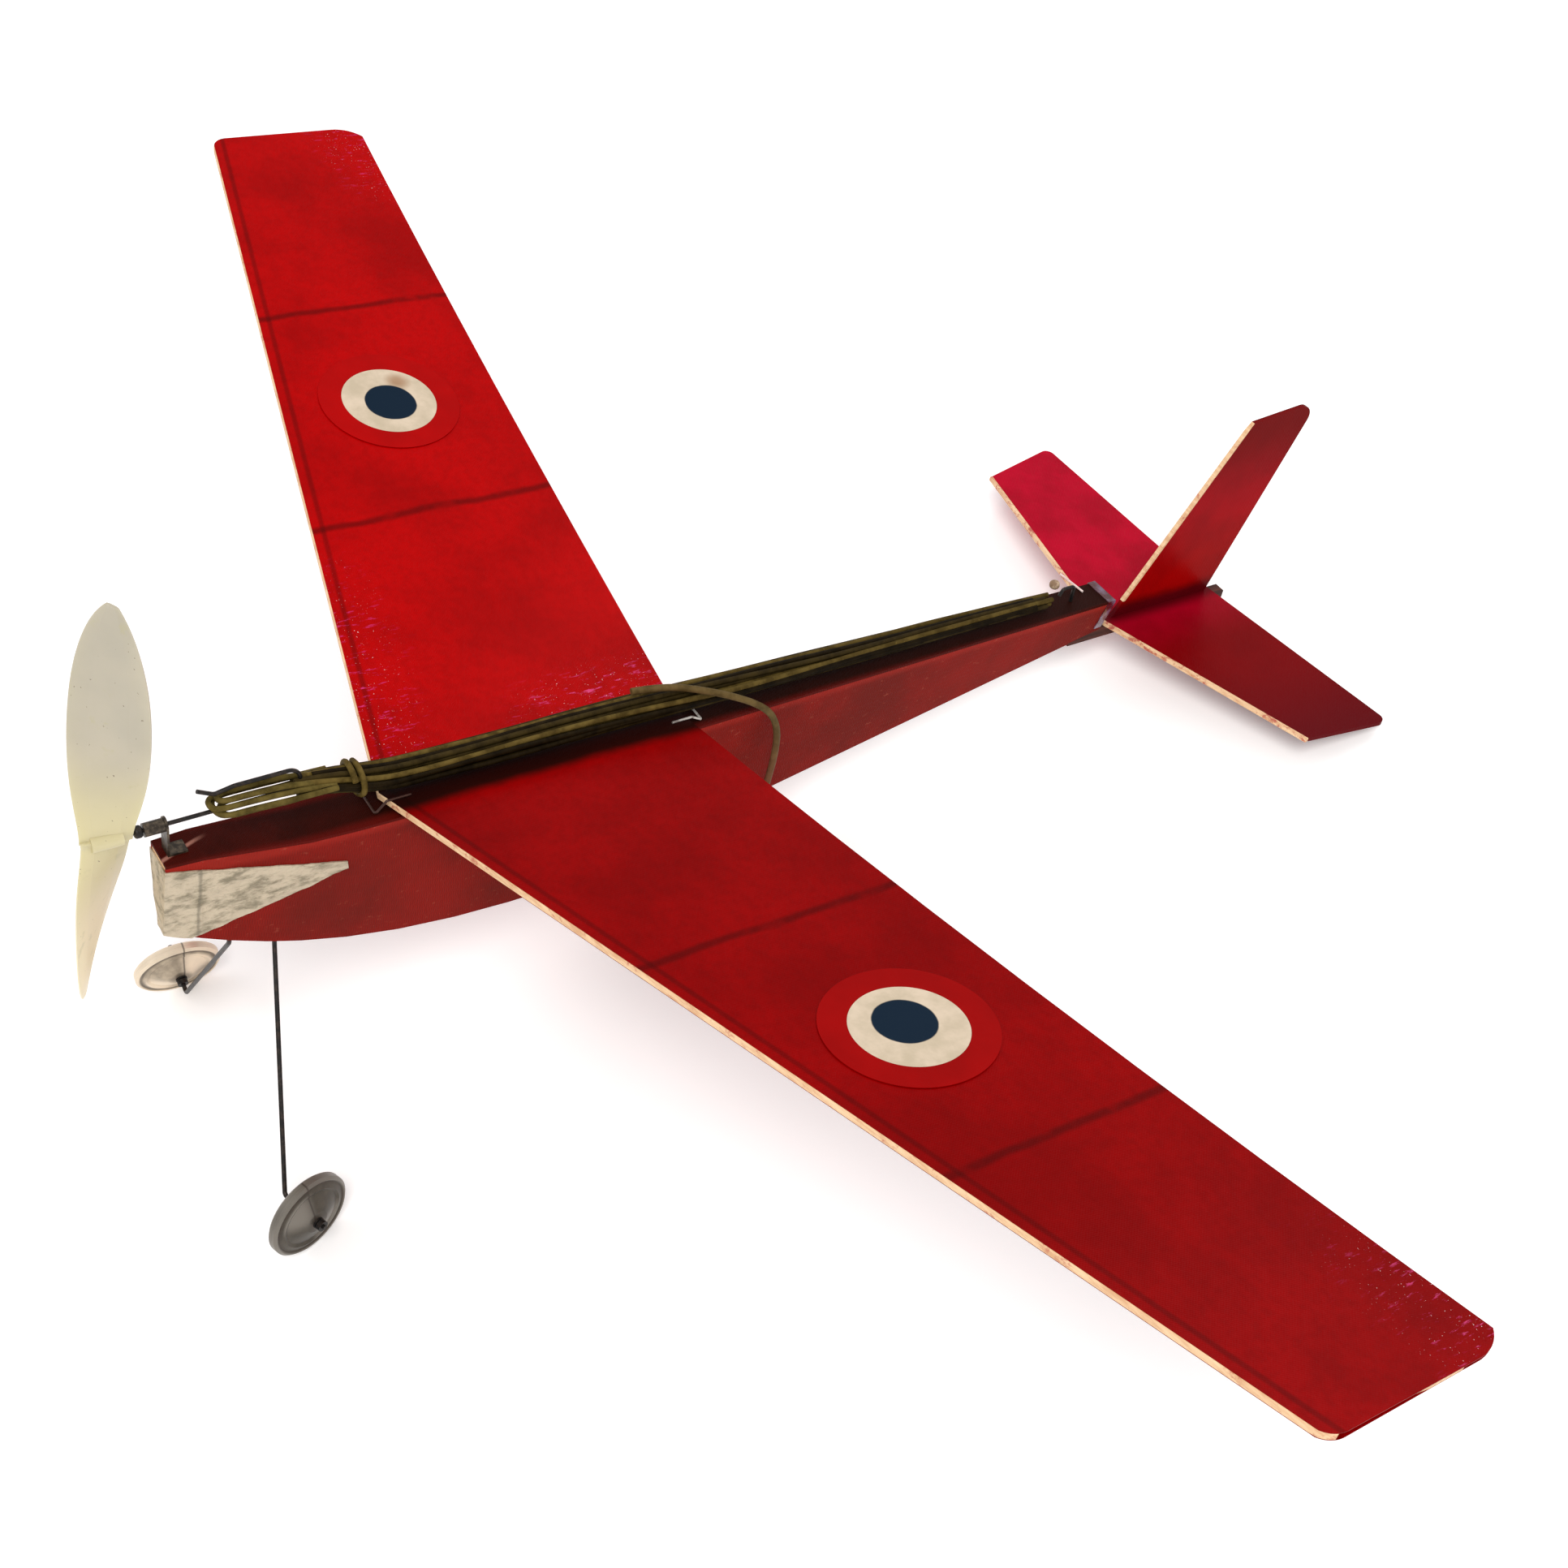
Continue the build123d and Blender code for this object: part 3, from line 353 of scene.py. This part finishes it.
def bareWood(name="bareWood", stain=0.6):
    paint = Paint(name)
    grain = paint.noise(0.6, 4.0, 0.6, stretch=(0.05, 1.0, 1.0))
    wood = paint.blend(grain.smooth(0.3, 0.75), woodLook["pale"], woodLook["grain"])
    stained = paint.noise(0.25, 4.0, 0.7).smooth(0.66 - 0.18 * stain, 0.8 - 0.18 * stain)
    wood = paint.blend(stained * stain, wood, woodLook["stain"])
    return paint.finish(BaseColor=wood, Roughness=0.6, Normal=paint.bump(grain, 0.05, 0.5))


def darkWood():
    paint = Paint("darkWood")
    grain = paint.noise(0.6, 4.0, 0.6, stretch=(1.0, 0.06, 1.0))
    wood = paint.blend(grain.smooth(0.3, 0.75), woodLook["dark"], woodLook["darkGrain"])
    return paint.finish(shine=0.1, BaseColor=wood, Roughness=0.5, Normal=paint.bump(grain, 0.05, 0.5))


foilLook = {"bright": (0.56, 0.47, 0.34), "blot": (0.13, 0.11, 0.06), "spot": (0.14, 0.12, 0.08)}


def foil():
    paint = Paint("foil")
    blot = paint.noise(0.3, 5.0, 0.65, stretch=(1.0, 0.45, 1.0))
    spots = paint.noise(0.9, 4.0, 0.7, stretch=(1.0, 0.5, 1.0))
    creases = paint.noise(0.35, 2.0, 0.4, stretch=(1.0, 0.6, 0.3))
    tone = paint.blend(blot.smooth(0.42, 0.68) * 0.75, foilLook["bright"], foilLook["blot"])
    tone = paint.blend(spots.smooth(0.58, 0.75) * 0.45, tone, foilLook["spot"])
    # painted shade along a fold in the foil
    fold = 1.0 - (paint.y + 57.0 + creases * 2.0).join("ABSOLUTE").smooth(0.1, 0.9)
    tone = paint.blend(fold * 0.6, tone, foilLook["spot"])
    return paint.finish(BaseColor=tone, Metallic=0.3, Roughness=0.4 + 0.25 * blot,
                        Normal=paint.bump(spots * 0.4 + blot + creases * 1.5, 0.9, 0.9))


celluloidLook = {"high": (0.4, 0.365, 0.29), "low": (0.82, 0.68, 0.42), "cloud": (0.68, 0.6, 0.45),
                 "hub": (0.58, 0.53, 0.24), "smudge": (0.42, 0.38, 0.2), "speck": (0.12, 0.08, 0.05)}


def celluloid():
    paint = Paint("celluloid")
    cloud = paint.noise(0.04, 3.0, 0.5)
    # the upper blade is painted darker and greyer than the lower one: painted shade on one celluloid
    low = 1.0 - paint.z.smooth(-50.0, 60.0)
    ivory = paint.blend(low, celluloidLook["high"], celluloidLook["low"])
    ivory = paint.blend(cloud.smooth(0.3, 0.7) * 0.2, ivory, celluloidLook["cloud"])
    near = 1.0 - (paint.z - 14.0).join("ABSOLUTE").smooth(4.0, 34.0)
    ivory = paint.blend(near * 0.45, ivory, celluloidLook["hub"])
    smudge = paint.noise(0.18, 3.0, 0.6).smooth(0.6, 0.72)
    ivory = paint.blend(smudge * 0.35, ivory, celluloidLook["smudge"])
    speck = paint.noise(0.9, 2.0, 0.4).smooth(0.74, 0.77)
    ivory = paint.blend(speck * 0.8, ivory, celluloidLook["speck"])
    return paint.finish(BaseColor=ivory, Roughness=0.32, SubsurfaceWeight=0.3,
                        SubsurfaceRadius=(0.004, 0.004, 0.003), SubsurfaceScale=0.5)


def rubber(name, dark, light):
    paint = Paint(name)
    cloud = paint.noise(0.2, 3.0, 0.6)
    olive = paint.blend(cloud.smooth(0.3, 0.7), dark, light)
    aft = paint.y.smooth(40.0, 200.0)
    olive = paint.blend(aft * 0.4, olive, dark)
    dust = paint.noise(0.9, 3.0, 0.7).smooth(0.6, 0.72)
    olive = paint.blend(dust * 0.3, olive, tuple(c * 2.0 for c in light))
    return paint.finish(shine=0.04, BaseColor=olive, Roughness=0.55,
                        Normal=paint.bump(dust + cloud, 0.08, 0.5))


slackLook = {"dark": (0.07, 0.045, 0.014), "light": (0.13, 0.085, 0.03), "low": (0.17, 0.06, 0.035)}


def slackRubber():
    paint = Paint("slackRubber")
    cloud = paint.noise(0.2, 3.0, 0.6)
    tan = paint.blend(cloud.smooth(0.3, 0.7), slackLook["dark"], slackLook["light"])
    low = 1.0 - paint.z.smooth(-42.0, 0.0)
    tan = paint.blend(low * 0.7, tan, slackLook["low"])
    return paint.finish(shine=0.06, BaseColor=tan, Roughness=0.55)


def mottled(name, dark, light, metallic=0.6, roughness=0.45):
    paint = Paint(name)
    cloud = paint.noise(0.5, 3.0, 0.6)
    tone = paint.blend(cloud.smooth(0.4, 0.7), dark, light)
    return paint.finish(BaseColor=tone, Metallic=metallic, Roughness=roughness,
                        Normal=paint.bump(cloud, 0.04, 0.4))


clipLook = {"front": (0.05, 0.018, 0.012), "rear": (0.6, 0.56, 0.52), "rust": (0.08, 0.03, 0.02)}


def clipWire():
    paint = Paint("clipWire")
    cloud = paint.noise(0.5, 3.0, 0.6)
    # the front clip is painted dark and the rear clip pale: the pale is a painted glint
    tone = paint.blend(paint.y.smooth(30.0, 70.0), clipLook["front"], clipLook["rear"])
    tone = paint.blend(cloud.smooth(0.5, 0.6) * 0.6, tone, clipLook["rust"])
    return paint.finish(BaseColor=tone, Metallic=0.4, Roughness=0.35 + 0.2 * cloud)


wheelLook = {"coneEnds": (11.0, 12.0), "groove": 12.7, "rim": 12.9, "knot": (2.2, 4.6),
             "starboard": (0.5, 0.41, 0.3), "port": (0.075, 0.062, 0.045), "recessShade": (0.05, 0.035, 0.025),
             "seam": (0.04, 0.03, 0.025)}


def agedTin(side):
    # dull tin plate with painted shade in the groove inside the rim and round the hub, a painted highlight
    # on the rim, and a dark line from the hub up to the rim
    paint = Paint("agedTin" + side)
    hub, axle = wheelPlace[side]
    away = paint.node("ShaderNodeVectorMath", {"operation": "SUBTRACT"}, {0: paint.level, 1: hub})
    deep = paint.node("ShaderNodeVectorMath", {"operation": "DOT_PRODUCT"}, {0: away, 1: axle}, "Value")
    size = paint.node("ShaderNodeVectorMath", {"operation": "LENGTH"}, {0: away}, "Value")
    radius = ((size * size) - (deep * deep)).join("MAXIMUM", 0.0).join("SQRT")
    cloud = paint.noise(0.25, 4.0, 0.6)
    # the port (near) wheel is painted far darker than the starboard one: painted shade
    pale = wheelLook[side]
    tin = paint.blend(cloud.smooth(0.3, 0.7), tuple(c * 0.6 for c in pale), pale)
    sideways = axle.cross(Vector((0, 0, 1))).normalized()
    off = paint.node("ShaderNodeVectorMath", {"operation": "DOT_PRODUCT"}, {0: away, 1: sideways}, "Value")
    up = paint.node("ShaderNodeVectorMath", {"operation": "DOT_PRODUCT"},
                    {0: away, 1: sideways.cross(axle)}, "Value")
    # the cone catches the light in two opposite fans
    fan = ((off * up) / (size * size + 0.5)).smooth(-0.15, 0.45)
    bright = tuple(min(1.0, c * 1.7 + 0.1) for c in pale)
    tin = paint.blend(fan * (1.0 - radius.smooth(*wheelLook["coneEnds"])) * 0.75, tin, bright)
    # a painted highlight on the rim
    tin = paint.blend((radius - wheelLook["rim"]).smooth(0.0, 0.6) * 0.7, tin, bright)
    groove = 1.0 - (radius - wheelLook["groove"]).join("ABSOLUTE").smooth(0.2, 0.9)
    knot = 1.0 - radius.smooth(*wheelLook["knot"])
    tin = paint.blend(groove * 0.6 + knot * 0.5, tin, wheelLook["recessShade"])
    seam = (1.0 - (off - 1.0).join("ABSOLUTE").smooth(0.1, 0.45)) * up.smooth(0.0, 0.5)
    tin = paint.blend(seam * 0.7, tin, wheelLook["seam"])
    return paint.finish(BaseColor=tin, Metallic=0.55, Roughness=0.34 + 0.2 * cloud,
                        Normal=paint.bump(cloud, 0.1, 0.5))


roundel = {"navyRadius": 9.2, "navy": (0.004, 0.014, 0.03), "cream": (0.52, 0.43, 0.31),
           "creamLight": (0.66, 0.54, 0.41), "stain": (0.3, 0.14, 0.06), "slope": 0.985,
           "farRed": (0.4, 0.0008, 0.001), "nearRed": (0.31, 0.001, 0.001)}


def redPaper(side):
    paint = Paint("redPaper" + side)
    cloud = paint.noise(0.06, 3.0, 0.5)
    # the far disc is painted lighter than the near one: painted light and shade on one paper
    base = roundel["farRed"] if side == "starboard" else roundel["nearRed"]
    red = paint.blend(cloud.smooth(0.3, 0.7), tuple(c * 0.85 for c in base), base)
    return paint.finish(shine=0.03, BaseColor=red, Roughness=0.25, CoatWeight=0.02, CoatRoughness=0.1)


def palePaper(side):
    # a dark spot in the middle of a cream ring, with an old stain
    paint = Paint("palePaper" + side)
    middle = discPlace[side]
    across = (paint.x - middle[0]) / roundel["slope"]  # the disc lies on a sloping wing
    along = paint.y - middle[1]
    radius = (across * across + along * along).join("SQRT")
    cloud = paint.noise(0.12, 4.0, 0.6)
    cream = paint.blend(cloud.smooth(0.3, 0.7), roundel["cream"], roundel["creamLight"])
    if side == "starboard":
        spot = (across + 10.0) * (across + 10.0) + (along - 7.0) * (along - 7.0)
        cream = paint.blend((1.0 - spot.join("SQRT").smooth(1.0, 6.0)) * 0.7, cream, roundel["stain"])
    rag = cloud * 0.5 - 0.25
    dark = 1.0 - (radius + rag).smooth(roundel["navyRadius"] - 0.25, roundel["navyRadius"] + 0.25)
    tone = paint.blend(dark, cream, roundel["navy"])
    return paint.finish(shine=0.05, BaseColor=tone, Roughness=0.35)


bandLook = {"dark": (0.06, 0.002, 0.004), "shine": (0.16, 0.1, 0.16)}


def glossBand():
    paint = Paint("glossBand")
    cloud = paint.noise(0.2, 3.0, 0.5)
    plum = paint.blend(cloud.smooth(0.35, 0.65), bandLook["dark"], bandLook["shine"])
    return paint.finish(BaseColor=plum, Roughness=0.2, CoatWeight=0.5)


def axleLine(camber, toe, hand):
    level = math.cos(math.radians(camber))
    toe = math.radians(toe)
    return Vector((hand * level * math.cos(toe), level * math.sin(toe), math.sin(math.radians(camber))))


wheelPlace = {"port": (Vector((57.0, -46.3, -109.0)), axleLine(2.5, 18.0, 1)),
              "starboard": (Vector((-57.0, -44.2, -109.0)), axleLine(18.0, 3.7, -1))}
discPlace = {"port": (161.6, 77.9), "starboard": (-161.6, 78.7)}

wood = bareWood()
thinWood = bareWood("thinWood", 0.85)
wire = mottled("blackWire", (0.012, 0.011, 0.011), (0.04, 0.028, 0.022))
brass = mottled("dullBrass", (0.03, 0.022, 0.015), (0.12, 0.09, 0.06), 0.5, 0.4)
# three tones of one rubber: the lighter strands are painted highlight, the darkest painted shade between the
# strands
strandRubbers = [rubber("rubber0", (0.005, 0.003, 0.001), (0.016, 0.01, 0.003)),
                 rubber("rubber1", (0.05, 0.032, 0.007), (0.13, 0.088, 0.022)),
                 rubber("rubber2", (0.02, 0.013, 0.004), (0.045, 0.03, 0.008))]
loopRubber = rubber("loopRubber", (0.05, 0.035, 0.008), (0.13, 0.095, 0.025))
for side in ("port", "starboard"):
    coat(wingCloth(side), f"wing_cover_{side}")
    coat(wood, f"wing_front_{side}", f"wing_rear_{side}", f"wing_ribs_{side}")
    coat(thinWood, f"tailplane_front_{side}")
    coat(redPaper(side), f"red_disc_{side}")
    coat(palePaper(side), f"pale_disc_{side}")
    coat(sideCloth(), f"side_skin_{side}")
    coat(wire, f"leg_{side}")
    coat(agedTin(side), f"wheel_{side}_outer", f"wheel_{side}_inner")
    coat(wire, f"wheel_{side}_hub")
coat(tailCloth(), "tailplane", "fin")
coat(wood, "fin_front", "keel_strip", "nose_block", "leg_block", "formers", "wing_joiner")
coat(deckCloth(), "top_deck", "tail_block")
coat(darkWood(), "tail_stick")
coat(foil(), "nose_plate")
coat(glossBand(), "tail_band")
coat(celluloid(), "propeller")
coat(wire, "prop_shaft", "rear_hook", "axle_stops", "thrust_bead")
coat(clipWire(), "wing_clips")
coat(brass, "thrust_bearing")
coat(mottled("knotCord", (0.22, 0.13, 0.07), (0.5, 0.36, 0.24), 0.0, 0.7), "rear_knot")
coat(mottled("pinWood", (0.7, 0.5, 0.46), (0.85, 0.7, 0.66), 0.0, 0.6), "tail_pin")
print("materials made")


# the dented nose foil

crumple = {"grain": 6.0, "depth": 0.9, "cuts": 3, "weld": 0.01, "outward": 0.35}


def crumpleFoil():
    # the thin plate is dented all over, more outwards than in
    plate = nodes["nose_plate"]
    dents = bpy.data.textures.new("dents", "CLOUDS")
    dents.noise_scale = crumple["grain"] * mm
    dents.noise_depth = 3
    plate.modifiers.new("weld", "WELD").merge_threshold = crumple["weld"] * mm
    finer = plate.modifiers.new("finer", "SUBSURF")
    finer.subdivision_type = "SIMPLE"
    finer.levels = crumple["cuts"]
    finer.render_levels = crumple["cuts"]
    dent = plate.modifiers.new("dent", "DISPLACE")
    dent.texture = dents
    dent.texture_coords = "LOCAL"
    dent.strength = crumple["depth"] * mm
    dent.mid_level = crumple["outward"]


crumpleFoil()
print("foil dented")


# the slack strand

strand = {"thick": 2.4, "route": [
    (-2.0, 88.0, 13.4), (-0.5, 99.0, 13.4), (4.5, 109.0, 12.9), (9.5, 118.5, 11.2), (12.2, 127.5, 7.2),
    (12.6, 135.0, 0.5), (12.2, 139.0, -9.0), (11.7, 140.0, -20.0), (11.0, 139.8, -31.0),
    (10.6, 139.0, -42.0)]}


def splineAlong(name, points, thick, material):
    # a round cord on a smooth spline, standing where the airplane stands
    data = bpy.data.curves.new(name, "CURVE")
    data.dimensions = "3D"
    data.bevel_depth = thick / 2 * mm
    data.bevel_resolution = 3
    data.resolution_u = 8
    data.use_fill_caps = True
    spline = data.splines.new("NURBS")
    spline.points.add(len(points) - 1)
    for point, where in zip(spline.points, points):
        point.co = (*(stand @ Vector(where)), 1)
    spline.order_u = 3
    spline.use_endpoint_u = True
    data.materials.append(material)
    piece = bpy.data.objects.new(name, data)
    bpy.context.scene.collection.objects.link(piece)
    return piece


slack = splineAlong("slackStrand", strand["route"], strand["thick"], slackRubber())
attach(slack, "airframe")
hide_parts("loose_strand")
print("slack strand laid")


# the rubber motor: the hank's strands, their loops over the hook and the strand wound round them

# line holds y, the height of the hank's middle, and half its width and half its height there
hank = {"count": 13, "inner": 5, "thick": 1.8, "front": -21.0, "stagger": 3.0, "innerFront": -20.0,
        "innerDepth": 0.4, "rear": 263.0, "wobble": 0.6, "wobblePace": 0.03, "drift": 0.55,
        "driftPace": 0.012, "step": 11.0,
        "line": [(-24.0, 15.2, 2.9, 1.9), (-14.0, 13.6, 4.2, 2.4), (0.0, 9.4, 5.2, 2.8),
                 (30.0, 8.3, 5.4, 2.8), (60.0, 8.1, 5.4, 2.8), (90.0, 7.6, 5.2, 2.7), (120.0, 6.8, 4.9, 2.6),
                 (160.0, 5.8, 4.3, 2.3), (205.0, 4.9, 3.6, 1.9), (240.0, 4.2, 2.9, 1.5),
                 (263.0, 3.7, 2.3, 1.3)]}


def hankAt(y):
    line = hank["line"]
    for first, second in zip(line, line[1:]):
        if y <= second[0]:
            share = max(0.0, (y - first[0]) / (second[0] - first[0]))
            return [a + (b - a) * share for a, b in zip(first, second)][1:]
    return line[-1][1:]


def strandRoute(turn, depth, start, seed):
    # one strand down the hank; it wanders a little round the bundle
    route = []
    y = start
    while y < hank["rear"]:
        z, wide, tall = hankAt(y)
        drift = noise.noise(Vector((y * hank["driftPace"], seed * 3.7, 0))) * hank["drift"]
        lift = noise.noise(Vector((y * hank["wobblePace"], seed * 5.1, 4))) * hank["wobble"]
        angle = turn + drift
        height = z + math.sin(angle) * tall * depth + lift * 0.4
        route.append((math.cos(angle) * (wide * depth + lift), y, height))
        y += hank["step"]
    return route


def layMotor():
    made = []
    for index in range(hank["count"]):
        turn = 2 * math.pi * index / hank["count"] + 0.3
        made.append(strandRoute(turn, 1.0, hank["front"] - hank["stagger"] * (index % 3), index))
    for index in range(hank["inner"]):
        turn = 2 * math.pi * index / hank["inner"]
        made.append(strandRoute(turn, hank["innerDepth"], hank["innerFront"], index + 40))
    for index, route in enumerate(made):
        piece = splineAlong(f"hankStrand{index}", route, hank["thick"], strandRubbers[index % 3])
        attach(piece, "airframe")
        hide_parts("rubber_motor")


loops = {"thick": 1.8, "front": -52.0, "lift": 16.9,
         "spreads": ((3.1, 0.0, 0.0), (1.9, 2.6, -2.4), (4.6, -2.9, -1.2), (3.3, -5.6, -3.4))}


def layLoops():
    for index, (spread, raised, back) in enumerate(loops["spreads"]):
        front = loops["front"] - back
        z = loops["lift"] + raised * 0.6
        half = [(spread, -15.0, 14.2), (spread + 0.2, -26.0, z - 0.7), (spread, front + 10, z),
                (spread, front + 2.5, z), (spread * 0.7, front, z)]
        route = [(-x, y, height) for x, y, height in half] + [(0, front - 0.7, z)] + half[::-1]
        piece = splineAlong(f"hookLoop{index}", route, loops["thick"], loopRubber)
        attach(piece, "airframe")
        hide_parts("motor_loops")


wrap = {"thick": 1.9, "y": -8.0, "turns": 1.3, "pitch": 2.6, "room": 0.75, "start": 0.6, "pointsPerTurn": 14}


def layWrap():
    route = []
    steps = int(wrap["turns"] * wrap["pointsPerTurn"])
    for step in range(steps + 1):
        angle = 2 * math.pi * wrap["turns"] * step / steps + wrap["start"]
        y = wrap["y"] + wrap["pitch"] * (step / steps - 0.5) * wrap["turns"]
        z, wide, tall = hankAt(y)
        out = wrap["room"] + wrap["thick"] / 2
        route.append((math.cos(angle) * (wide + out), y, z + math.sin(angle) * (tall + out)))
    piece = splineAlong("woundStrand", route, wrap["thick"], strandRubbers[1])
    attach(piece, "airframe")
    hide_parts("motor_wrap")


layMotor()
layLoops()
layWrap()
print("rubber motor laid")


# floor

def layFloor():
    bpy.ops.object.select_all(action="DESELECT")
    bpy.ops.mesh.primitive_plane_add(size=2 * studio["floorHalf"], location=(0, 0, 0))
    floor = bpy.context.object
    floor.name = "floor"
    paint = Paint("floor")
    speck = paint.noise(0.02, 2.0, 0.5)
    tone = paint.blend(speck, *studio["floorColours"])
    floor.data.materials.append(paint.finish(
        shine=0.1, BaseColor=tone, Roughness=0.9, EmissionColor=tone, EmissionStrength=studio["floorGlow"]))


layFloor()
print("floor laid")
